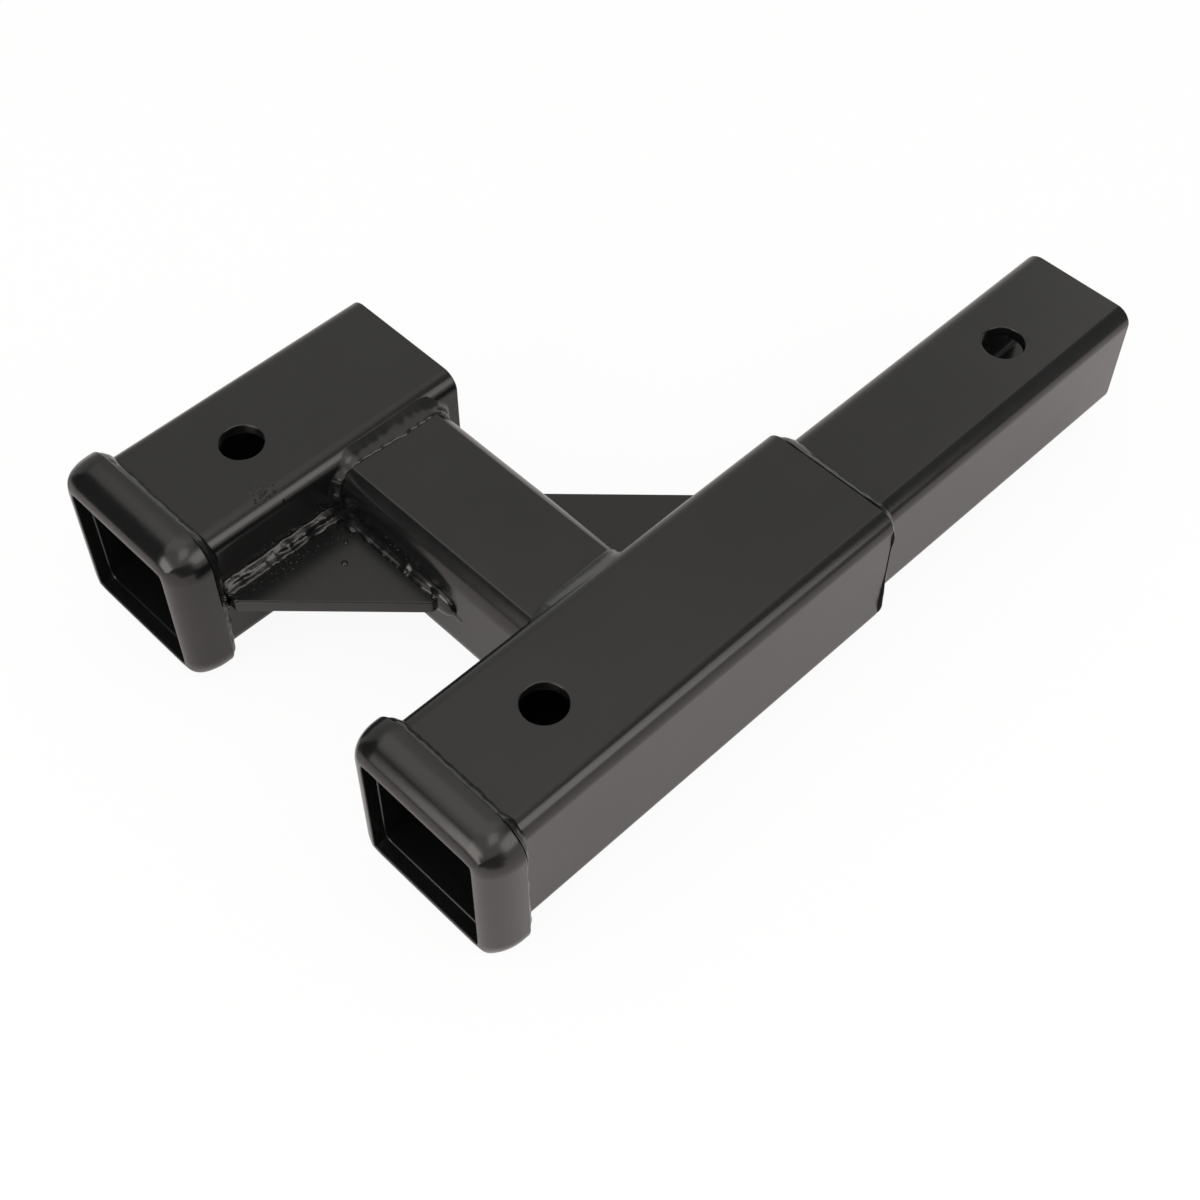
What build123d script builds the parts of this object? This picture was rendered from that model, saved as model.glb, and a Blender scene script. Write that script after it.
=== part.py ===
from build123d import *
import os

os.makedirs("parts", exist_ok=True)

# A rigid welded hitch extender: a main receiver tube with a shank welded into its rear,
# and a side receiver carried on a cross tube. The origin is where the main receiver's
# pin axis meets the axis of the tube. +Y runs along the tubes to the end of the shank,
# +X from the side receiver to the main one, +Z up along the pins. Millimetres.

# Receiver tubes, square and open at both ends
receiver_size = 60.0
receiver_wall = 4.5
receiver_corner = 7.0
receiver_inner_corner = 2.5
main_length = 192.0
side_tail = 10.0
tube_edge = 0.6

# Pin holes, straight through the top and bottom walls
pin_hole = 16.5
mouth_to_pin = 51.4
hole_edge = 0.5

# Shank, a square tube that slides into the rear of the main receiver
shank_clearance = 0.5
shank_wall = 5.0
shank_corner = 7.0
shank_inner_corner = 2.5
shank_reach = 147.6
shank_overlap = 60.0
shank_end_to_pin = 48.2

# Cross tube between the two receivers
cross_length = 97.6
cross_size = 50.0
cross_wall = 5.0
cross_corner = 6.0
cross_inner_corner = 2.0
pin_to_cross = 41.8

# Reinforcing collars slipped over the mouths, with a lip in front of the tube's end
collar_wall = 10.0
collar_corner = 13.0
collar_lip = 5.0
collar_sleeve = 10.7
collar_clearance = 0.15
collar_back_edge = 0.8
mouth_edge = 0.7
mouth_flat = 0.3

# Gusset plates in the corners between the cross tube and the receivers
gusset_leg = 60.0
gusset_thickness = 6.0
gusset_tip = 2.0
gusset_level = 1.0

# Weld beads
collar_bead = 4.0
shank_bead = 5.2
cross_bead_height = 3.6
cross_side_bead = 4.6
cross_main_bead = 3.2
gusset_bead = 4.5

# Places that follow from the sizes above
bore = receiver_size - 2 * receiver_wall
shank_size = bore - 2 * shank_clearance
mouth_y = -mouth_to_pin
main_end_y = mouth_y + main_length
shank_end_y = main_end_y + shank_reach
shank_pin_y = shank_end_y - shank_end_to_pin
cross_front_y = pin_to_cross - cross_size / 2
cross_rear_y = pin_to_cross + cross_size / 2
side_end_y = cross_rear_y + side_tail
main_face_x = -receiver_size / 2
side_face_x = main_face_x - cross_length
side_x = side_face_x - receiver_size / 2
collar_size = bore + 2 * collar_wall
collar_front_y = mouth_y - collar_lip
collar_rear_y = mouth_y + collar_sleeve
collar_toe_y = collar_rear_y + collar_bead


def across(x, y):
    """Plane square to the receivers, its x along +X and its y along +Z."""
    return Plane(origin=(x, y, 0), x_dir=(1, 0, 0), z_dir=(0, -1, 0))


def prism(x, start_y, end_y, size, corner, mode=Mode.ADD):
    """Square bar with rounded corners along Y."""
    with BuildSketch(across(x, start_y)) as outline:
        RectangleRounded(size, size, corner)
    extrude(outline.sketch, amount=start_y - end_y, mode=mode)


def pinned_tube(x, start_y, end_y, size, wall, corner, inner_corner, pin_y):
    """Square tube along Y with eased ends and a pin hole through top and bottom."""
    with BuildPart() as tube:
        prism(x, start_y, end_y, size, corner)
        prism(x, start_y, end_y, size - 2 * wall, inner_corner, Mode.SUBTRACT)
        ends = tube.faces().filter_by(Axis.Y)
        chamfer(ends.edges(), length=tube_edge)
        with Locations((x, pin_y, size / 2)):
            Hole(radius=pin_hole / 2)
        walls = tube.faces().sort_by(Axis.Z)
        rims = walls[-1].inner_wires() + walls[0].inner_wires()
        chamfer(rims.edges(), length=hole_edge)
    return tube.part


def receiver(x, end_y):
    """Receiver tube with its mouth at the front and its pin hole at y = 0."""
    return pinned_tube(
        x, mouth_y, end_y, receiver_size, receiver_wall, receiver_corner, receiver_inner_corner, 0
    )


def mouth_collar(x):
    """Collar with a full round nose, a bore flush with the tube's and a seat for its end."""
    nose = min(collar_wall, collar_corner) - mouth_edge - mouth_flat
    with BuildPart() as collar:
        prism(x, collar_front_y, collar_rear_y, collar_size, collar_corner)
        fillet(collar.faces().sort_by(Axis.Y)[0].edges(), radius=nose)
        chamfer(collar.faces().sort_by(Axis.Y)[-1].edges(), length=collar_back_edge)
        prism(x, collar_front_y, mouth_y, bore, receiver_inner_corner, Mode.SUBTRACT)
        mouth = collar.faces().sort_by(Axis.Y)[0].inner_wires()[0]
        chamfer(mouth.edges(), length=mouth_edge)
        seat_size = receiver_size + 2 * collar_clearance
        seat_corner = receiver_corner + collar_clearance
        prism(x, mouth_y, collar_rear_y, seat_size, seat_corner, Mode.SUBTRACT)
    return collar.part


def ring_bead(face, size, corner, height, reach, root=0.0):
    """Fillet weld round a square tube, in the angle between the tube and a face.

    The bead is as high as the height on the face and reaches along the tube in front of it.
    The root is how far it also fills behind the face, where the face rounds away.
    """
    with BuildSketch(face) as outline:
        RectangleRounded(size, size, corner)
    path = outline.sketch.face().outer_wire()
    section = Plane(origin=path @ 0, x_dir=face.z_dir, z_dir=path % 0)
    with BuildSketch(section) as profile:
        with BuildLine():
            Polyline((reach, 0), (0, height), (0, 0), close=True)
        make_face()
        if root:
            Rectangle(root, height, align=(Align.MAX, Align.MIN))
    sweep(profile.sketch, path=path)


def gusset(corner, receiver_leg):
    """Triangular plate with blunt tips, one leg on the cross tube and one on the receiver.

    The corner is the plane of the plate, with its origin where the two legs meet.
    """
    cross_leg = gusset_leg - gusset_tip
    with BuildPart() as plate:
        with BuildSketch(corner):
            with BuildLine():
                Polyline(
                    (0, 0),
                    (cross_leg, 0),
                    (cross_leg, gusset_tip),
                    (gusset_leg - receiver_leg, receiver_leg),
                    (0, receiver_leg),
                    close=True,
                )
            make_face()
        extrude(amount=gusset_thickness / 2, both=True)
    return plate.part


def gusset_weld(corner, receiver_leg, neighbours):
    """Fillet weld along both faces of a plate and round its tips."""
    foot = gusset_thickness / 2 + gusset_bead
    legs = (
        (corner.x_dir, corner.y_dir, gusset_leg - gusset_tip),
        (corner.y_dir, corner.x_dir, receiver_leg),
    )
    with BuildPart() as weld:
        for along, out, leg in legs:
            level = Plane(origin=corner.origin, x_dir=along, z_dir=along.cross(out))
            with BuildPart(mode=Mode.PRIVATE) as bead:
                with BuildSketch(level):
                    with BuildLine():
                        Polyline(
                            (0, 0),
                            (leg + gusset_bead, 0),
                            (leg, gusset_bead),
                            (gusset_bead, gusset_bead),
                            close=True,
                        )
                    make_face()
                extrude(amount=foot, both=True)
                with BuildSketch(Plane(origin=corner.origin, x_dir=out, z_dir=along)):
                    with BuildLine():
                        Polyline(
                            (0, foot),
                            (gusset_bead, gusset_thickness / 2),
                            (gusset_bead, -gusset_thickness / 2),
                            (0, -foot),
                            close=True,
                        )
                    make_face()
                extrude(amount=leg + gusset_bead, mode=Mode.INTERSECT)
            add(bead.part)
        add(neighbours, mode=Mode.SUBTRACT)
    return weld.part


def cross_weld(face_x, direction, reach, host_x, host_end_y, plate):
    """Weld round one end of the cross tube, filling up to the receiver's rounded edges."""
    face = Plane(origin=(face_x, pin_to_cross, 0), x_dir=(0, 1, 0), z_dir=(direction, 0, 0))
    with BuildPart() as weld:
        ring_bead(face, cross_size, cross_corner, cross_bead_height, reach, receiver_corner)
        prism(host_x, mouth_y, host_end_y, receiver_size, receiver_corner, Mode.SUBTRACT)
        add(plate, mode=Mode.SUBTRACT)
    return weld.part


def tube_weld(x, y, size, corner, height, reach):
    """Weld round a tube, on the rear of the collar or receiver that it comes out of."""
    with BuildPart() as weld:
        face = Plane(origin=(x, y, 0), x_dir=(1, 0, 0), z_dir=(0, 1, 0))
        ring_bead(face, size, corner, height, reach)
    return weld.part


def collar_weld(x):
    """Weld between the rear of a collar and the receiver tube."""
    height = collar_wall - receiver_wall - collar_back_edge
    return tube_weld(x, collar_rear_y, receiver_size, receiver_corner, height, collar_bead)


# Tubes
main_receiver_tube = receiver(0, main_end_y)
side_receiver_tube = receiver(side_x, side_end_y)
shank_tube = pinned_tube(
    0,
    main_end_y - shank_overlap,
    shank_end_y,
    shank_size,
    shank_wall,
    shank_corner,
    shank_inner_corner,
    shank_pin_y,
)
with BuildPart() as cross_tube:
    with BuildSketch(Plane.YZ.offset(side_face_x)):
        with Locations((pin_to_cross, 0)):
            RectangleRounded(cross_size, cross_size, cross_corner)
            inner_size = cross_size - 2 * cross_wall
            RectangleRounded(inner_size, inner_size, cross_inner_corner, mode=Mode.SUBTRACT)
    extrude(amount=cross_length)

# Collars
main_collar = mouth_collar(0)
side_collar = mouth_collar(side_x)
main_collar_weld = collar_weld(0)
side_collar_weld = collar_weld(side_x)

# Gusset plates, the near one cut short by the weld of the side collar
near_corner = Plane(
    origin=(side_face_x, cross_front_y, gusset_level), x_dir=(1, 0, 0), z_dir=(0, 0, -1)
)
near_leg = min(gusset_leg - gusset_tip, cross_front_y - collar_toe_y)
near_gusset = gusset(near_corner, near_leg)
far_corner = Plane(
    origin=(main_face_x, cross_rear_y, gusset_level), x_dir=(-1, 0, 0), z_dir=(0, 0, -1)
)
far_leg = gusset_leg - gusset_tip
far_gusset = gusset(far_corner, far_leg)

# Welds of the tubes and the gussets
shank_bead_height = (receiver_size - shank_size) / 2 - tube_edge
shank_weld = tube_weld(0, main_end_y, shank_size, shank_corner, shank_bead_height, shank_bead)
cross_side_weld = cross_weld(side_face_x, 1, cross_side_bead, side_x, side_end_y, near_gusset)
cross_main_weld = cross_weld(main_face_x, -1, cross_main_bead, 0, main_end_y, far_gusset)
with BuildPart() as collar_room:
    prism(side_x, collar_front_y, collar_rear_y, collar_size, collar_corner)
near_neighbours = [near_gusset, cross_side_weld, side_collar_weld, collar_room.part]
near_gusset_weld = gusset_weld(near_corner, near_leg, near_neighbours)
far_gusset_weld = gusset_weld(far_corner, far_leg, [far_gusset, cross_main_weld])

pieces = {
    "main_receiver_tube": main_receiver_tube,
    "side_receiver_tube": side_receiver_tube,
    "shank_tube": shank_tube,
    "cross_tube": cross_tube.part,
    "main_collar": main_collar,
    "side_collar": side_collar,
    "near_gusset": near_gusset,
    "far_gusset": far_gusset,
    "main_collar_weld": main_collar_weld,
    "side_collar_weld": side_collar_weld,
    "shank_weld": shank_weld,
    "cross_side_weld": cross_side_weld,
    "cross_main_weld": cross_main_weld,
    "near_gusset_weld": near_gusset_weld,
    "far_gusset_weld": far_gusset_weld,
}
for name, piece in pieces.items():
    piece.label = name
    export_step(piece, f"parts/{name}.step")
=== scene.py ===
import math
import random

import bmesh
import bpy
from mathutils import Euler, Matrix, Vector, noise


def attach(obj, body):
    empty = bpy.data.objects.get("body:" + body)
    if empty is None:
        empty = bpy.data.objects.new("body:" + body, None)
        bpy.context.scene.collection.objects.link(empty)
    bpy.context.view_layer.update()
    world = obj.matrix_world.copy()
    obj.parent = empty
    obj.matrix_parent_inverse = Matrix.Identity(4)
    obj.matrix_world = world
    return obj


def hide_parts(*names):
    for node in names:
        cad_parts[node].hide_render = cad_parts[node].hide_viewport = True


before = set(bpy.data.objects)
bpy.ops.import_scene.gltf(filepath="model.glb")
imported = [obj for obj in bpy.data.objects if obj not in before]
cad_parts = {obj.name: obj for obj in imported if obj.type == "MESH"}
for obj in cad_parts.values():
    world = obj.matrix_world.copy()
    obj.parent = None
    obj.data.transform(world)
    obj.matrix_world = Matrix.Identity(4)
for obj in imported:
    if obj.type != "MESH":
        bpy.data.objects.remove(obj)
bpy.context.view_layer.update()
print("frame loaded:", len(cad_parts), "nodes")

mm = 0.001
tiny = 1e-6  # metres; places nearer than this are the same

# the photograph's own viewpoint
cameraSet = {
    "place": (0.25401, -0.22865, 0.53812),
    "looks": (-0.426151, 0.425551, -0.798312),
    "roll": 0.4795,  # degrees about its own axis
    "lens": 56.765,
    "sensor": 36,
    "nearest": 0.01,
}


def placeCamera(given):
    data = bpy.data.cameras.new("camera")
    data.lens = given["lens"]
    data.sensor_width = given["sensor"]
    data.clip_start = given["nearest"]
    camera = bpy.data.objects.new("camera", data)
    bpy.context.scene.collection.objects.link(camera)
    turn = Vector(given["looks"]).to_track_quat("-Z", "Y").to_matrix().to_4x4()
    roll = Matrix.Rotation(math.radians(given["roll"]), 4, "Z")
    camera.matrix_world = Matrix.Translation(given["place"]) @ turn @ roll
    bpy.context.scene.camera = camera


placeCamera(cameraSet)
print("camera placed")

# white surround, pale floor, four softboxes and the cards that shade the reflections off
studio = {
    "floorZ": -35.55 * mm,
    "floorSize": 12.0,
    "floorColour": (0.86, 0.80, 0.785, 1),
    "floorGlow": (0.93, 0.25),  # part of the floor's white that takes no shadow, seen straight and in reflections
    "surround": 0.85,  # strength of the white surround on matt surfaces
    "white": (1, 1, 1, 1),
    "aim": (-0.03, 0.06, 0),
    "softboxes": {
        # name: place, width, height, power, colour
        "overheadSoftbox": ((-0.33, -0.08, 1.30), 0.7, 1.1, 1.2, (1, 1, 1)),
        "cornerSoftbox": ((0.41, -0.15, 1.20), 0.5, 0.5, 1.4, (1, 0.975, 0.97)),
        "rightSoftbox": ((0.86, 0.36, 0.66), 0.76, 0.66, 3.4, (1, 0.975, 0.975)),
        "frontSoftbox": ((-0.09, -1.29, 0.63), 1.1, 0.82, 9.0, (1, 0.97, 0.96)),
    },
    "cards": {
        # name: middle, width, height, brightness in the reflections
        "backCard": ((0.52, 1.25, 1.40), 1.85, 2.9, 0.28),
        "backLeftCard": ((-0.97, 0.87, 1.02), 1.27, 1.45, 0.70),
        "farLeftCard": ((-1.27, 0.03, 0.60), 0.85, 1.3, 0.55),
        "leftCard": ((-1.015, -0.832, 0.70), 1.03, 1.5, 0.05),
        "frontRightCard": ((0.56, -0.47, 0.245), 1.1, 0.55, 0.18),
        "nearRightCard": ((0.158, -0.145, 0.045), 0.22, 0.16, 0.15),
        "frontLowCard": ((-0.07, -1.20, 0.06), 1.3, 0.18, 0.4),
    },
}


def nodeTree(owner):
    owner.use_nodes = True
    tree = owner.node_tree
    tree.nodes.clear()
    return tree


def mathNode(tree, operation, *values):
    node = tree.nodes.new("ShaderNodeMath")
    node.operation = operation
    for socket, value in zip(node.inputs, values):
        if isinstance(value, (int, float)):
            socket.default_value = value
        else:
            tree.links.new(value, socket)
    return node.outputs[0]


def lightNode(tree, kind, colour, strength):
    node = tree.nodes.new(kind)
    node.inputs["Color"].default_value = colour
    node.inputs["Strength"].default_value = strength
    return node.outputs[0]


def mixNode(tree, share, first, second):
    node = tree.nodes.new("ShaderNodeMixShader")
    for socket, output in zip(node.inputs, (share, first, second)):
        tree.links.new(output, socket)
    return node.outputs[0]


def stageObject(name, bm):
    mesh = bpy.data.meshes.new(name)
    bm.to_mesh(mesh)
    bm.free()
    thing = bpy.data.objects.new(name, mesh)
    bpy.context.scene.collection.objects.link(thing)
    return thing


def buildSurround(given):
    world = bpy.data.worlds.new("studioSurround")
    bpy.context.scene.world = world
    tree = nodeTree(world)
    rays = tree.nodes.new("ShaderNodeLightPath")
    straight = mathNode(tree, "MAXIMUM", rays.outputs["Is Camera Ray"], rays.outputs["Is Glossy Ray"])
    seen = mathNode(tree, "MAXIMUM", straight, rays.outputs["Is Transmission Ray"])
    soft = lightNode(tree, "ShaderNodeBackground", given["white"], given["surround"])
    white = lightNode(tree, "ShaderNodeBackground", given["white"], 1)
    out = tree.nodes.new("ShaderNodeOutputWorld")
    tree.links.new(mixNode(tree, seen, soft, white), out.inputs["Surface"])


def layFloor(given):
    bm = bmesh.new()
    bmesh.ops.create_grid(bm, x_segments=2, y_segments=2, size=given["floorSize"] / 2)
    bmesh.ops.translate(bm, verts=bm.verts, vec=(0, 0, given["floorZ"]))
    floor = stageObject("floor", bm)
    material = bpy.data.materials.new("paleFloor")
    tree = nodeTree(material)
    matt = tree.nodes.new("ShaderNodeBsdfDiffuse")
    matt.inputs["Color"].default_value = given["floorColour"]
    glow = lightNode(tree, "ShaderNodeEmission", given["white"], 1)
    rays = tree.nodes.new("ShaderNodeLightPath")
    seenStraight, reflected = given["floorGlow"]
    reflectedShare = mathNode(tree, "MULTIPLY", rays.outputs["Is Glossy Ray"], reflected)
    share = mathNode(tree, "MULTIPLY_ADD", rays.outputs["Is Camera Ray"], seenStraight, reflectedShare)
    out = tree.nodes.new("ShaderNodeOutputMaterial")
    tree.links.new(mixNode(tree, share, matt.outputs[0], glow), out.inputs["Surface"])
    floor.data.materials.append(material)


def standCard(name, given, place, width, height, bright):
    # an upright card that faces the object and is seen only in reflections
    level = Vector(given["aim"]) - Vector(place)
    level.z = 0
    turn = level.to_track_quat("Z", "Y").to_matrix()
    bm = bmesh.new()
    bmesh.ops.create_grid(
        bm, x_segments=2, y_segments=2, size=0.5,
        matrix=Matrix.LocRotScale(Vector(place), turn, Vector((width, height, 1))),
    )
    card = stageObject(name, bm)
    material = bpy.data.materials.new(name + "Grey")
    tree = nodeTree(material)
    plain = lightNode(tree, "ShaderNodeEmission", given["white"], bright)
    out = tree.nodes.new("ShaderNodeOutputMaterial")
    tree.links.new(plain, out.inputs["Surface"])
    card.data.materials.append(material)
    card.visible_camera = False
    card.visible_shadow = False
    card.visible_diffuse = False


def hangSoftbox(name, given, place, width, height, power, colour):
    data = bpy.data.lights.new(name, "AREA")
    data.shape = "RECTANGLE"
    data.size = width
    data.size_y = height
    data.energy = power
    data.color = colour
    lamp = bpy.data.objects.new(name, data)
    bpy.context.scene.collection.objects.link(lamp)
    turn = (Vector(given["aim"]) - Vector(place)).to_track_quat("-Z", "Y").to_matrix().to_4x4()
    lamp.matrix_world = Matrix.Translation(place) @ turn
    lamp.visible_camera = False


buildSurround(studio)
layFloor(studio)
for name, values in studio["cards"].items():
    standCard(name, studio, *values)
for name, values in studio["softboxes"].items():
    hangSoftbox(name, studio, *values)
bpy.context.scene.view_settings.view_transform = "Standard"
print("studio lit")

# one black satin powder coat, a little different on each kind of piece
coats = {
    # slot: base grey, roughness, spread of roughness, orange peel height in mm, slow waviness in mm
    "tubes": (0.005, 0.21, 0.03, 0.003, 0.02),
    "collars": (0.005, 0.21, 0.03, 0.003, 0.02),
    "plates": (0.005, 0.23, 0.04, 0.004, 0.02),
    "welds": (0.005, 0.17, 0.05, 0.004, 0.01),
}
coatLook = {
    "ior": 1.5,
    "tint": (1, 0.965, 0.925, 1),  # its reflections are a little warm
    "darker": (0.85, 0.85, 0.86), "lighter": (1.2, 1.19, 1.18),  # shares of the base grey
    "noiseSpan": (0.3, 0.7),  # the part of a noise's values that is stretched to the full range
    # noises: scale, detail, roughness
    "shade": (28, 4, 0.5), "polish": (45, 5, 0.6), "slow": (60, 1, 0.5), "peel": (900, 2, 0.5),
}


def powderCoat(name, grey, roughness, spread, peel, wave, look):
    material = bpy.data.materials.new(name)
    tree = nodeTree(material)
    nodes, links = tree.nodes, tree.links
    place = nodes.new("ShaderNodeTexCoord")

    def cloud(scale, detail, rough):
        texture = nodes.new("ShaderNodeTexNoise")
        texture.inputs["Scale"].default_value = scale
        texture.inputs["Detail"].default_value = detail
        texture.inputs["Roughness"].default_value = rough
        links.new(place.outputs["Object"], texture.inputs["Vector"])
        return texture.outputs["Fac"]

    def toRange(value, low, high):
        fit = nodes.new("ShaderNodeMapRange")
        fit.inputs["From Min"].default_value = look["noiseSpan"][0]
        fit.inputs["From Max"].default_value = look["noiseSpan"][1]
        fit.inputs["To Min"].default_value = low
        fit.inputs["To Max"].default_value = high
        links.new(value, fit.inputs["Value"])
        return fit.outputs["Result"]

    def bump(height, distance):
        node = nodes.new("ShaderNodeBump")
        node.inputs["Distance"].default_value = distance * mm
        node.inputs["Strength"].default_value = 1
        links.new(height, node.inputs["Height"])
        return node

    shader = nodes.new("ShaderNodeBsdfPrincipled")
    shader.inputs["IOR"].default_value = look["ior"]
    shader.inputs["Specular Tint"].default_value = look["tint"]
    shade = nodes.new("ShaderNodeMix")
    shade.data_type = "RGBA"
    shade.inputs["A"].default_value = [grey * part for part in look["darker"]] + [1]
    shade.inputs["B"].default_value = [grey * part for part in look["lighter"]] + [1]
    links.new(toRange(cloud(*look["shade"]), 0, 1), shade.inputs["Factor"])
    links.new(shade.outputs["Result"], shader.inputs["Base Color"])
    polish = toRange(cloud(*look["polish"]), roughness - spread, roughness + spread)
    links.new(polish, shader.inputs["Roughness"])
    slow = bump(cloud(*look["slow"]), wave)
    fine = bump(cloud(*look["peel"]), peel)
    links.new(slow.outputs["Normal"], fine.inputs["Normal"])
    links.new(fine.outputs["Normal"], shader.inputs["Normal"])
    out = nodes.new("ShaderNodeOutputMaterial")
    links.new(shader.outputs["BSDF"], out.inputs["Surface"])
    return material


finish = {slot: powderCoat(slot + "Coat", *values, coatLook) for slot, values in coats.items()}
print("finishes mixed")


def addPiece(name, bm, slot, replaced, sharpAngle=40, turned=True):
    if turned:
        bmesh.ops.recalc_face_normals(bm, faces=bm.faces)
    for face in bm.faces:
        face.smooth = True
    for edge in bm.edges:
        edge.smooth = edge.calc_face_angle(0) < math.radians(sharpAngle)
    mesh = bpy.data.meshes.new(name)
    bm.to_mesh(mesh)
    bm.free()
    piece = bpy.data.objects.new(name, mesh)
    bpy.context.scene.collection.objects.link(piece)
    mesh.materials.append(finish[slot])
    even = piece.modifiers.new("evenShading", "WEIGHTED_NORMAL")
    even.keep_sharp = True
    even.weight = 100
    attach(piece, "root")
    if replaced:
        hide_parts(*replaced)
    return piece


# the four square tubes; sizes in mm, lengths along Y
tubes = {
    "mainReceiver": {
        "node": "main_receiver_tube", "x": 0, "start": -51.4, "end": 140.6,
        "size": 60, "wall": 4.5, "corner": 7, "pin": 0,
    },
    "sideReceiver": {
        "node": "side_receiver_tube", "x": -157.6, "start": -51.4, "end": 76.8,
        "size": 60, "wall": 4.5, "corner": 7, "pin": 0,
    },
    "shank": {
        "node": "shank_tube", "x": 0, "start": 80.6, "end": 288.2,
        "size": 50, "wall": 5, "corner": 7, "pin": 240,
    },
    "crossTube": {
        # made along Y, then turned a quarter: x is its place along the receivers
        "node": "cross_tube", "x": 42.65, "start": 30, "end": 127.6,
        "size": 50.6, "wall": 5, "corner": 10, "pin": None,
    },
}
# the cross tube's top and bottom are pressed flat, so each corner ends in a crease
crossPress = {"radius": 12, "turn": 62, "half": 25}
tubeShape = {
    "cornerSteps": 14, "endEdge": 0.6, "edgeSteps": 3, "sharpAngle": 31,
    "pinRadius": 8.25, "pinEdge": 0.6, "pinSteps": 72, "patch": 13,
}


def looksAlong(face, axis):
    # this and the next leave out the faces of the small rounds, which lean in between
    return abs(face.normal[axis]) > 0.9


def looksAcross(face, axis):
    return abs(face.normal[axis]) < 0.1


def isRim(edge, axis):
    faces = edge.link_faces
    return any(looksAlong(f, axis) for f in faces) and any(looksAcross(f, axis) for f in faces)


def rimEdges(bm, y):
    return [e for e in bm.edges if all(abs(v.co.y - y * mm) < tiny for v in e.verts) and isRim(e, 1)]


def roundOver(bm, edges, radius, steps):
    bmesh.ops.bevel(
        bm, geom=edges, offset=radius * mm, offset_type="OFFSET", affect="EDGES",
        segments=steps, profile=0.5, material=-1,
    )


def cutAcross(bm, y):
    everything = bm.verts[:] + bm.edges[:] + bm.faces[:]
    bmesh.ops.bisect_plane(bm, geom=everything, plane_co=(0, y, 0), plane_no=(0, 1, 0))


def squareTube(x, start, end, given, steps):
    bm = bmesh.new()
    centre = Vector((x, (start + end) / 2, 0)) * mm
    stretch = Vector((given["size"], end - start, given["size"])) * mm
    bmesh.ops.create_cube(bm, size=1, matrix=Matrix.LocRotScale(centre, None, stretch))
    long = [e for e in bm.edges if abs(e.verts[0].co.y - e.verts[1].co.y) > tiny]
    roundOver(bm, long, given["corner"], steps)
    bmesh.ops.delete(bm, geom=[f for f in bm.faces if looksAlong(f, 1)], context="FACES_ONLY")
    bmesh.ops.recalc_face_normals(bm, faces=bm.faces)
    bmesh.ops.solidify(bm, geom=bm.faces, thickness=given["wall"] * mm)
    bmesh.ops.recalc_face_normals(bm, faces=bm.faces)
    return bm


def makeTube(name, given, shape):
    bm = squareTube(given["x"], given["start"], given["end"], given, shape["cornerSteps"])
    for y in (given["start"], given["end"]):
        roundOver(bm, rimEdges(bm, y), shape["endEdge"], shape["edgeSteps"])
    if given["pin"] is not None:
        drillPinHole(bm, given, shape)
    else:
        pressFlat(bm, given, crossPress)
        turn = Matrix.Rotation(math.radians(90), 4, "Z")
        bmesh.ops.transform(bm, matrix=turn, verts=bm.verts)
    return addPiece(name, bm, "tubes", [given["node"]], sharpAngle=shape["sharpAngle"])


def pressFlat(bm, given, press):
    half, corner, x = given["size"] / 2 * mm, given["corner"] * mm, given["x"] * mm
    radius = press["radius"] * mm
    level = press["half"] * mm - radius * math.sin(math.radians(press["turn"]))
    for vert in bm.verts:
        across, up = abs(vert.co.x - x) - (half - corner), abs(vert.co.z) - (half - corner)
        if up < -tiny:
            continue  # on an upright face
        reach = math.hypot(max(across, 0), up) + radius - corner
        turn = math.atan2(up, max(across, 0)) * press["turn"] / 90
        if across > tiny or turn > 0:
            sideways = half - radius + reach * math.cos(turn) if across > -tiny else abs(vert.co.x - x)
            vert.co.x = x + math.copysign(sideways, vert.co.x - x)
            vert.co.z = math.copysign(level + reach * math.sin(turn), vert.co.z)


def drillPinHole(bm, given, shape):
    x, y, half = given["x"] * mm, given["pin"] * mm, shape["patch"] * mm
    for side in (-half, half):
        cutAcross(bm, y + side)
    outer = given["size"] / 2 * mm
    inner = outer - given["wall"] * mm
    rings = []
    for z in (outer, inner, -inner, -outer):
        middle = Vector((x, y, z))
        patches = [
            f for f in bm.faces
            if looksAlong(f, 2) and (f.calc_center_median() - middle).length < 0.1 * mm
        ]
        frameEdges = list(patches[0].edges)
        bmesh.ops.delete(bm, geom=patches, context="FACES_ONLY")
        circle = bmesh.ops.create_circle(
            bm, cap_ends=False, segments=shape["pinSteps"], radius=shape["pinRadius"] * mm,
            matrix=Matrix.Translation(middle),
        )["verts"]
        ring = list({e for v in circle for e in v.link_edges})
        bmesh.ops.triangle_fill(bm, edges=frameEdges + ring, use_beauty=True, normal=(0, 0, 1))
        rings.append(ring)
    for upper, lower in ((0, 1), (2, 3)):
        bmesh.ops.bridge_loops(bm, edges=rings[upper] + rings[lower])
    bmesh.ops.recalc_face_normals(bm, faces=bm.faces)
    rims = [
        e for e in bm.edges
        if all(abs((v.co - Vector((x, y, v.co.z))).length - shape["pinRadius"] * mm) < tiny for v in e.verts)
        and isRim(e, 2)
    ]
    roundOver(bm, rims, shape["pinEdge"], shape["edgeSteps"])


for name, given in tubes.items():
    makeTube(name, given, tubeShape)
print("tubes made")

# bullnosed collars on the two mouths
collars = {
    "size": 71, "corner": 13, "back": -40.7, "wall": 9.45,
    "front": -56.4, "noseDepth": 13, "noseHeight": 9.05,  # a quarter ellipse in section
    "mouthEdge": 0.35, "mouthSteps": 4, "mouthSquare": 0.6, "backEdge": 0.8, "backSteps": 3,
    "tubeEnd": -51.4, "seat": 4.1,  # depth of the seat behind the lip
    "cornerSteps": 20, "noseSteps": 18,
    "places": {"mainCollar": ("main_collar", 0), "sideCollar": ("side_collar", -157.6)},
}


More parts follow.
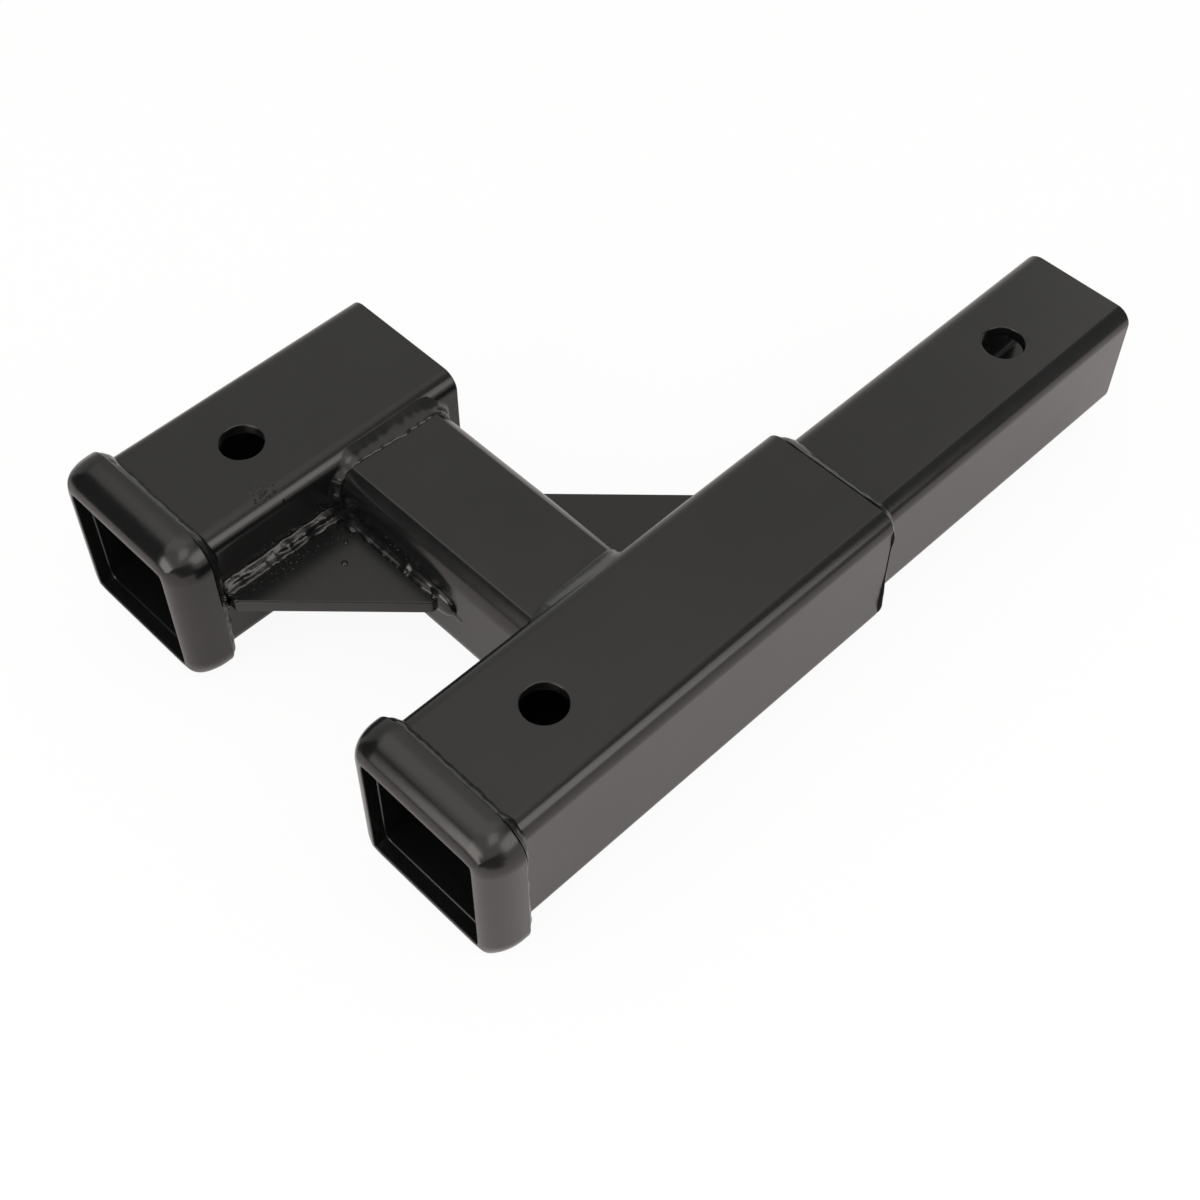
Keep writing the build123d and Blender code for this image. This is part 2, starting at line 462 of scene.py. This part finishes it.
def makeCollar(name, node, x, given):
    height, depth, back = given["noseHeight"], given["noseDepth"], given["back"]
    noseRoot = given["front"] + depth
    bluntFront = noseRoot - height  # the nose is made round first, then drawn out
    bm = squareTube(x, bluntFront, back, given, given["cornerSteps"])
    inner = (given["size"] / 2 - given["wall"]) * mm

    def fromAxis(place):
        return max(abs(place.x - x * mm), abs(place.z))

    def rim(y, outer):
        return [e for e in rimEdges(bm, y) if all((fromAxis(v.co) > inner + mm) == outer for v in e.verts)]

    roundOver(bm, rim(bluntFront, False), given["mouthEdge"], given["mouthSteps"])
    roundOver(bm, rim(bluntFront, True), height, given["noseSteps"])
    roundOver(bm, rim(back, True), given["backEdge"], given["backSteps"])
    forward = [v for v in bm.verts if v.co.y < noseRoot * mm]
    bmesh.ops.scale(
        bm, verts=forward, vec=(1, depth / height, 1), space=Matrix.Translation((0, -noseRoot * mm, 0))
    )
    squareMouth(bm, x, given)
    # the seat that the tube's end stands in
    cutAcross(bm, given["tubeEnd"] * mm)
    seat = []
    for face in bm.faces:
        middle = face.calc_center_median()
        if middle.y > given["tubeEnd"] * mm and looksAcross(face, 1) and fromAxis(middle) < inner + 10 * tiny:
            seat.append(face)
    bmesh.ops.inset_region(bm, faces=seat, thickness=0, depth=-given["seat"] * mm, use_even_offset=True)
    return addPiece(name, bm, "collars", [node])


def squareMouth(bm, x, given):
    # the mouth's corners are squarer than the collar's own
    bend = (given["size"] / 2 - given["corner"]) * mm
    for vert in bm.verts:
        sideways, upward = vert.co.x - x * mm, vert.co.z
        if min(abs(sideways), abs(upward)) > bend:
            away = Vector((abs(sideways) - bend, abs(upward) - bend))
            share = given["mouthSquare"] * min(1, (given["corner"] * mm - away.length) / (given["wall"] * mm))
            away *= 1 + share * (away.length / max(away) - 1)
            vert.co.x = x * mm + math.copysign(bend + away.x, sideways)
            vert.co.z = math.copysign(bend + away.y, upward)


for name, (node, x) in collars["places"].items():
    makeCollar(name, node, x, collars)
print("collars made")

# the two gusset plates; the corner is where the tubes meet
gussets = {
    "thickness": 6, "leg": 60, "into": 1.2, "level": 1, "edge": 0.5, "edgeSteps": 3,
    # name: node, corner, cross direction, receiver direction, cross leg, receiver leg
    "places": {
        "nearGusset": ("near_gusset", (-127.6, 16.8), 1, -1, 55.8, 53.5),
        "farGusset": ("far_gusset", (-30, 66.8), -1, 1, 58, 58),
    },
}


def makeGusset(name, node, corner, acrossWay, alongWay, crossLeg, receiverLeg, given):
    leg, into = given["leg"], given["into"]
    outline = [
        (0, -into), (crossLeg, -into), (crossLeg, leg - crossLeg),
        (leg - receiverLeg, receiverLeg), (0, receiverLeg),
    ]
    bm = bmesh.new()
    low = given["level"] - given["thickness"] / 2
    verts = [
        bm.verts.new(Vector((corner[0] + across * acrossWay, corner[1] + along * alongWay, low)) * mm)
        for across, along in outline
    ]
    face = bm.faces.new(verts)
    lifted = bmesh.ops.extrude_face_region(bm, geom=[face], use_keep_orig=True)["geom"]
    top = [v for v in lifted if isinstance(v, bmesh.types.BMVert)]
    bmesh.ops.translate(bm, verts=top, vec=(0, 0, given["thickness"] * mm))
    bmesh.ops.recalc_face_normals(bm, faces=bm.faces)
    roundOver(bm, bm.edges[:], given["edge"], given["edgeSteps"])
    return addPiece(name, bm, "plates", [node])


for name, (node, corner, acrossWay, alongWay, crossLeg, receiverLeg) in gussets["places"].items():
    makeGusset(name, node, corner, acrossWay, alongWay, crossLeg, receiverLeg, gussets)
print("gussets made")

# the weld beads: each runs along a corner line, up one face and out along the other
sections = {
    # (out, up) in shares of the bead's two legs, from the upper toe to the lower one
    "round": [
        (-0.02, 1.12), (0, 1), (0.14, 0.95), (0.29, 0.88), (0.43, 0.79), (0.56, 0.68), (0.67, 0.56),
        (0.77, 0.43), (0.86, 0.29), (0.94, 0.15), (1, 0), (1.03, -0.1), (-0.12, -0.12),
    ],
    "ridged": [
        (-0.04, 1.15), (0, 1), (0.05, 0.91), (0.12, 0.84), (0.21, 0.79), (0.31, 0.74), (0.40, 0.66),
        (0.46, 0.55), (0.50, 0.43), (0.56, 0.34), (0.65, 0.30), (0.75, 0.31), (0.84, 0.29), (0.92, 0.22),
        (0.98, 0.11), (1, 0), (1, -0.1), (-0.12, -0.12),
    ],
    "hollow": [
        (-0.03, 1.14), (0, 1), (0.05, 0.84), (0.12, 0.69), (0.21, 0.56), (0.32, 0.46), (0.44, 0.39),
        (0.56, 0.33), (0.68, 0.29), (0.8, 0.25), (0.9, 0.19), (0.96, 0.11), (1, 0), (1.03, -0.1), (-0.12, -0.12),
    ],
}
ringWelds = {
    # name: node, loop centre, loop half size and corner radius, its level direction, way out,
    # lean of the upper toe over the tube's round corner, section, legs (up, out) by the angle round the loop,
    # lumps as angle: (reach, height), and how high the ripples, lumps and grain are
    "mainCollarWeld": {
        "node": "main_collar_weld", "centre": (0, -40.7, 0), "half": 30, "corner": 7,
        "across": (1, 0, 0), "out": (0, 1, 0), "lean": 0, "section": "round",
        "legs": {-180: (4.5, 3.7), 30: (4.5, 3.7), 45: (4.9, 4.2), 60: (4.5, 3.7), 180: (4.5, 3.7)},
        "lumps": {}, "ripple": 0.015, "lump": 0.22, "grain": 0.02, "seed": 3,
    },
    "sideCollarWeld": {
        "node": "side_collar_weld", "centre": (-157.6, -40.7, 0), "half": 30, "corner": 7,
        "across": (1, 0, 0), "out": (0, 1, 0), "lean": 0, "section": "round",
        "legs": {-180: (4.5, 3.7), -60: (4.5, 3.7), 0: (4.6, 4.4), 35: (4.8, 4.9), 60: (4.5, 3.7), 180: (4.5, 3.7)},
        "lumps": {40: (3, 0.5), 28: (2, 0.3), 4: (2.5, 0.6), -8: (2, 0.4)},
        "ripple": 0.01, "lump": 0.18, "grain": 0.01, "seed": 11,
    },
    "shankWeld": {
        "node": "shank_weld", "centre": (0, 140.6, 0), "half": 25, "corner": 7,
        "across": (1, 0, 0), "out": (0, 1, 0), "lean": 0, "section": "round",
        "legs": {
            -180: (4.7, 5), -135: (5.8, 5.4), -90: (4.7, 5), -45: (5.8, 5.4), 0: (4.7, 5.2), 30: (4.7, 5),
            45: (5.8, 5.6), 60: (4.7, 4.8), 85: (4.7, 4.4), 104: (4.7, 4.7), 117: (4.7, 5.9), 129: (5, 6.4),
            135: (5.8, 6.2), 150: (4.7, 5), 180: (4.7, 5),
        },
        "lumps": {}, "ripple": 0.015, "lump": 0.25, "grain": 0.02, "seed": 5,
    },
    "crossSideWeld": {
        "node": "cross_side_weld", "centre": (-127.6, 42.65, 0), "half": 25.2, "corner": 10,
        "across": (0, 1, 0), "out": (1, 0, 0), "lean": 1.9, "section": "hollow",
        "legs": {
            -180: (4.6, 3), -135: (3.4, 3), -110: (2.9, 4), -70: (2.9, 5), -45: (3.8, 5), 0: (4.4, 4.6),
            45: (3.8, 5), 58: (3.1, 5.1), 80: (2.9, 4.7), 100: (2.9, 4.2), 117: (3, 3.6), 135: (3.2, 3.2),
            150: (4.4, 3.2), 180: (4.8, 3),
        },
        "lumps": {140: (2.2, 0.8), 152: (1.8, 0.7), 165: (1.8, 0.5)},
        "ripple": 0, "lump": 0.04, "grain": 0, "seed": 17,
    },
    "crossMainWeld": {
        "node": "cross_main_weld", "centre": (-30, 42.65, 0), "half": 25.2, "corner": 10,
        "across": (0, 1, 0), "out": (-1, 0, 0), "lean": 2.6, "section": "hollow",
        "legs": {
            -180: (3.2, 3), -135: (2.2, 1.2), -110: (2.6, 2.6), -70: (3, 3.4), -45: (3.6, 3.8), 0: (4.2, 4.2),
            45: (3.6, 3.8), 65: (3.4, 3.5), 90: (3.2, 3.1), 117: (2.9, 2.4), 128: (1.8, 1.2), 137: (0.8, 0.6),
            150: (2.4, 2), 180: (3.2, 3),
        },
        "lumps": {}, "ripple": 0.004, "lump": 0.05, "grain": 0, "seed": 23,
    },
}
barKinds = {
    # section, taper at the ends, and how high the ripples, lumps and grain are
    "rough": {"section": "ridged", "taper": 3, "ripple": 0.01, "lump": 0.65, "grain": 0.1},
    "plain": {"section": "round", "taper": 3, "ripple": 0.02, "lump": 0.3, "grain": 0.06},
    "fading": {"section": "hollow", "taper": 12, "ripple": 0, "lump": 0.1, "grain": 0.02},
}
barWelds = {
    # name: node, seed, beads as kind, start, end, up, out, (leg up, leg out),
    # lumps as (share of the length, reach, height)
    "nearGussetWeld": ("near_gusset_weld", 31, [
        ("rough", (-127.6, -37.5, 4), (-127.6, 18.5, 4), (0, 0, 1), (1, 0, 0), (3.9, 4.5),
         [(0.1, 4.5, 0.5), (0.22, 3, 0.4), (0.4, 2.5, 0.4), (0.52, 2.5, 0.6), (0.66, 3, 0.6), (0.83, 2.5, 0.6)]),
        ("rough", (-127.6, -37.5, -2), (-127.6, 18.5, -2), (0, 0, -1), (1, 0, 0), (3.8, 4.0),
         [(0.3, 4, 0.5), (0.7, 4, 0.6)]),
        ("fading", (-130, 17.35, 4), (-71.5, 17.35, 4), (0, 0, 1), (0, -1, 0), (4.4, 3.4),
         [(0.18, 3, 0.25), (0.5, 3, 0.12), (0.7, 2.2, 0.4)]),
        ("fading", (-130, 17.35, -2), (-79, 17.35, -2), (0, 0, -1), (0, -1, 0), (4.0, 3.6),
         [(0.4, 3, 0.4), (0.8, 3, 0.5)]),
    ]),
    "farGussetWeld": ("far_gusset_weld", 43, [
        ("plain", (-29.6, 67.9, 4), (-87.5, 67.9, 4), (0, 0, 1), (0, 1, 0), (4.2, 3.6),
         [(0.3, 4, 0.5), (0.75, 3, 0.6)]),
        ("plain", (-30, 66.4, 4), (-30, 124.5, 4), (0, 0, 1), (-1, 0, 0), (4.2, 3.9),
         [(0.4, 4, 0.5), (0.85, 3, 0.6)]),
        ("plain", (-29.6, 67.9, -2), (-87.5, 67.9, -2), (0, 0, -1), (0, 1, 0), (4.2, 3.6), [(0.5, 4, 0.5)]),
        ("plain", (-30, 66.4, -2), (-30, 124.5, -2), (0, 0, -1), (-1, 0, 0), (4.2, 3.9), [(0.6, 4, 0.5)]),
    ]),
}
beadShape = {
    "pitch": 0.3, "sharpAngle": 75,
    "ripplePitch": 1.7, "bow": 0.9,  # the ripples bow forward in the middle of the bead
    "lumpSize": 3.2, "grainSize": 1.0, "stretch": 2.6,  # lumps are longer along a bar than across it
    "waver": 0.14,  # of the lower toe, as a share of the leg
    "lumpGain": 1.6, "grainMiddle": 0.5,  # bring the noise to about the range -1 to 1, and the grain's level to 0
    "fan": 0.4,  # heights point away from this far behind the root, in shares of the legs
    "toeShare": 0.25,  # part of a height that is left at the toes
    "thinEnd": 0.12,  # part of the legs that is left at a bar's ends
    "seedStep": (7.3, 3.1, 5.7),  # each bead reads another part of the noise
    "same": 1e-8,  # metres; points nearer than this are joined
}


def fromTable(table, key):
    # straight-line reading between the two nearest entries
    marks = sorted(table)
    for low, high in zip(marks, marks[1:]):
        if low <= key <= high:
            share = (key - low) / (high - low)
            return [a + (b - a) * share for a, b in zip(table[low], table[high])]
    return list(table[marks[-1]])


def bell(distance, reach):
    return math.exp(-2 * (distance / reach) ** 2)


def ringStations(given, shape):
    half, corner = given["half"], given["corner"]
    across, up, out = Vector(given["across"]), Vector((0, 0, 1)), Vector(given["out"])
    flat, bend = 2 * (half - corner), math.pi / 2 * corner
    count = round(4 * (flat + bend) / shape["pitch"])
    stations = []
    for i in range(count):
        along = i * 4 * (flat + bend) / count
        side, rest = divmod(along, flat + bend)
        if rest < flat:
            x, y, turn = half, rest - flat / 2, 0
        else:
            turn = (rest - flat) / corner
            x, y = half - corner + corner * math.cos(turn), half - corner + corner * math.sin(turn)
        spin = side * math.pi / 2
        x, y = x * math.cos(spin) - y * math.sin(spin), x * math.sin(spin) + y * math.cos(spin)
        rise = across * math.cos(turn + spin) + up * math.sin(turn + spin)
        here = math.degrees(math.atan2(y, x))
        stations.append({
            "at": Vector(given["centre"]) + across * x + up * y, "rise": rise, "out": out, "along": along,
            "legs": fromTable(given["legs"], here), "lean": given["lean"] * abs(rise.z) ** 3,
            "lump": sum(
                height * bell(math.radians(here - angle) * half, reach)
                for angle, (reach, height) in given["lumps"].items()
            ),
        })
    return stations


def barStations(shape, taper, start, end, rise, out, legs, lumps):
    start, end = Vector(start), Vector(end)
    length = (end - start).length
    count = round(length / shape["pitch"])
    stations = []
    for i in range(count + 1):
        along = length * i / count
        near = min(max(min(along, length - along), 0) / taper, 1)
        full = shape["thinEnd"] + (1 - shape["thinEnd"]) * math.sqrt(1 - (1 - near) ** 2)
        stations.append({
            "at": start.lerp(end, i / count), "rise": Vector(rise), "out": Vector(out), "along": along,
            "legs": (legs[0] * full, legs[1] * full), "lean": 0,
            "lump": sum(height * bell(along - share * length, reach) for share, reach, height in lumps),
        })
    return stations


def layBead(bm, stations, given, shape, closed):
    section = sections[given["section"]]
    away = Vector([given["seed"] * step for step in shape["seedStep"]])
    length = stations[-1]["along"] + (shape["pitch"] if closed else 0)
    ripples = max(1, round(length / shape["ripplePitch"]))
    n, m = len(stations) - (0 if closed else 1), len(section)
    strip = bmesh.ops.create_grid(bm, x_segments=n, y_segments=m, size=0.5)["verts"]
    for vert in strip:
        i, j = round((vert.co.x + 0.5) * n), round((vert.co.y + 0.5) * m) % m
        spot = stations[i % len(stations)]
        outShare, upShare = section[j]
        legUp, legOut = spot["legs"]
        legOut *= 1 + shape["waver"] * noise.noise(spot["at"] / shape["lumpSize"] + away)
        place = spot["at"] + spot["out"] * outShare * legOut + spot["rise"] * upShare * legUp
        place -= spot["out"] * spot["lean"] * max(upShare, 0) ** 2
        # the root, last in the section, stays where it is
        if j < m - 1:
            crown = math.sin(math.pi * min(j, m - 2) / (m - 2))
            lift = spot["out"] * max(outShare + shape["fan"], 0) * legOut
            lift += spot["rise"] * max(upShare + shape["fan"], 0) * legUp
            wave = abs(math.sin(math.pi * (ripples * spot["along"] / length - shape["bow"] * crown ** 2)))
            drawn = Vector((spot["along"] / shape["stretch"], outShare * legOut, upShare * legUp))
            if closed:  # a loop's pattern has to meet itself
                drawn = place.copy()
            height = given["ripple"] * (1 - 2 * wave)
            height += given["lump"] * noise.noise(drawn / shape["lumpSize"] + away) * shape["lumpGain"]
            grain = shape["grainMiddle"] - 2 * abs(noise.noise(drawn / shape["grainSize"] + away))
            height += given["grain"] * grain
            height *= shape["toeShare"] + (1 - shape["toeShare"]) * crown
            place += lift.normalized() * (height + spot["lump"] * crown)
        vert.co = place * mm
    bmesh.ops.remove_doubles(bm, verts=strip, dist=shape["same"])
    ends = [e for e in bm.edges if e.is_boundary]
    if ends:
        bmesh.ops.holes_fill(bm, edges=ends, sides=0)


def makeWeld(name, node, runs, shape, closed):
    # runs: each a list of stations and the values of its bead
    bm = bmesh.new()
    for stations, given in runs:
        bead = bmesh.new()
        layBead(bead, stations, given, shape, closed)
        bmesh.ops.recalc_face_normals(bead, faces=bead.faces)
        part = bpy.data.meshes.new("bead")
        bead.to_mesh(part)
        bead.free()
        bm.from_mesh(part)
        bpy.data.meshes.remove(part)
    return addPiece(name, bm, "welds", [node], sharpAngle=shape["sharpAngle"], turned=False)


for name, given in ringWelds.items():
    makeWeld(name, given["node"], [(ringStations(given, beadShape), given)], beadShape, True)
for name, (node, seed, beads) in barWelds.items():
    runs = [
        (barStations(beadShape, barKinds[kind]["taper"], *bead), {**barKinds[kind], "seed": seed + place})
        for place, (kind, *bead) in enumerate(beads)
    ]
    makeWeld(name, node, runs, beadShape, False)
print("welds laid")

# drops of weld metal and specks under the coat; places and sizes in mm
spatter = {
    "seed": 7,
    "sink": 0.5,  # part of a speck's radius that is below the face
    "smallest": 0.7,  # a speck keeps between this share of its radius and all of it
    "scatter": 0.5,  # standard deviation, in half spreads
    "sharpAngle": 30,
    "speckSteps": 1, "dropSteps": 2,  # subdivisions
    "finer": (1, 3),  # a drop has one subdivision more for each of these that its radius is above
    # place, radii along X, Y and Z
    "drops": [
        ((-124.6, -38.4, 4.6), (1.5, 1.2, 1.3)), ((-124.2, -38.3, 0.6), (1.3, 0.9, 1.5)),
        ((-72.9, 15.2, 4.6), (1.5, 1.3, 0.9)), ((-72.2, 17.35, 1.2), (8, 3.0, 5.6)),
        ((-88.2, 14.9, 4.9), (1.4, 1.1, 1.0)), ((-117.9, 14.6, 4.4), (3.4, 1.7, 0.8)),
        ((-106.9, 2.2, 4), (1.3, 1.2, 0.6)), ((-113.8, 8.7, 4), (0.9, 0.9, 0.7)),
        ((-127.6, -4.3, 26.3), (0.3, 0.5, 0.8)), ((-127.6, 10.8, 5.9), (0.4, 0.5, 0.6)),
        ((-127.6, -32.2, 7.9), (0.5, 0.6, 0.6)), ((-127.6, -29.2, 6.4), (0.4, 0.4, 0.4)),
        ((-64.5, 17.35, -1.5), (3.2, 0.4, 1.6)),
        ((-81.7, 52.4, 25), (0.35, 0.35, 0.2)), ((-18.6, 63.5, 30), (0.4, 0.4, 0.2)),
        ((-12.9, 38.0, 30), (0.35, 0.35, 0.2)), ((-10.3, 71.7, 30), (0.35, 0.35, 0.2)),
    ],
    # specks, left angular so that some catch the light:
    # middle, half spread, how many, smallest and largest radius, way that the face looks
    "clouds": [
        ((-135, -9.5, 30), (4.8, 4.2, 0), 60, 0.3, 0.65, (0, 0, 1)),
        ((-127.6, -12, 9.4), (0, 20, 2.2), 60, 0.28, 0.6, (1, 0, 0)),
        ((-127.6, 11, 9.5), (0, 4.5, 3.5), 30, 0.25, 0.6, (1, 0, 0)),
        ((-120.4, -14, 4), (3, 20, 0), 70, 0.28, 0.6, (0, 0, 1)),
        ((-117.5, 6, 4), (3, 8, 0), 14, 0.2, 0.42, (0, 0, 1)),
        ((-95, 17.35, 10), (20, 0, 2.6), 30, 0.28, 0.6, (0, -1, 0)),
    ],
}


def makeSpatter(given):
    chance = random.Random(given["seed"])
    bm = bmesh.new()

    def drop(place, radii, turn, steps):
        matrix = Matrix.LocRotScale(Vector(place) * mm, turn, Vector(radii) * mm)
        bmesh.ops.create_icosphere(bm, subdivisions=steps, radius=1, matrix=matrix)

    for place, radii in given["drops"]:
        drop(place, radii, None, given["dropSteps"] + sum(max(radii) > size for size in given["finer"]))
    for middle, spread, count, small, large, way in given["clouds"]:
        for _ in range(count):
            radius = chance.uniform(small, large) * chance.uniform(given["smallest"], 1)
            shift = Vector([chance.gauss(0, given["scatter"]) * side for side in spread])
            turn = Euler([chance.uniform(0, math.tau) for _ in range(3)])
            place = Vector(middle) + shift - Vector(way) * radius * given["sink"]
            drop(place, (radius, radius, radius), turn, given["speckSteps"])
    addPiece("spatter", bm, "welds", [], sharpAngle=given["sharpAngle"])


makeSpatter(spatter)
print("spatter thrown")

for node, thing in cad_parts.items():
    slot = "welds" if "weld" in node else "plates" if "gusset" in node else "collars" if "collar" in node else "tubes"
    thing.data.materials.clear()
    thing.data.materials.append(finish[slot])
